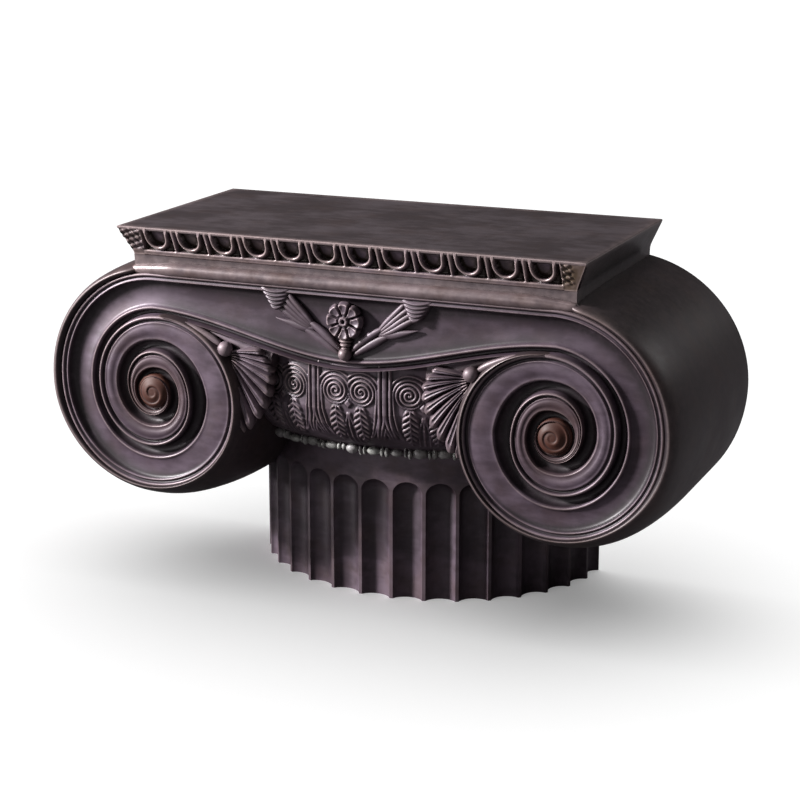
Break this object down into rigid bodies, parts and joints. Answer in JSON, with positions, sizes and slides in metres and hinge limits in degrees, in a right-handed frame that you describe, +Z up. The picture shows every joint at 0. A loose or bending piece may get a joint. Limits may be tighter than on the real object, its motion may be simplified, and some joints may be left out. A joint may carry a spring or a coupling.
{
  "type": "metal column capital",
  "caption": "Half of an Ionic column capital in dark cast metal, with scroll volutes, an egg-moulded flat top, a carved echinus and a fluted foot, cut flat at the back.",
  "frame": {"origin": "on the ground, under the middle of the capital's length and depth", "axes": "+X along the length, -Y out of the carved front, +Y out of the flat back, +Z up"},
  "size_m": [0.834, 0.304, 0.47],
  "materials": {
    "bronze": "cast bronze under a dark purple-brown patina, waxed, lighter and rubbed on the raised edges, near black in the hollows"
  },
  "bodies": {
    "root": {"capital": "bronze"}
  },
  "joints": []
}
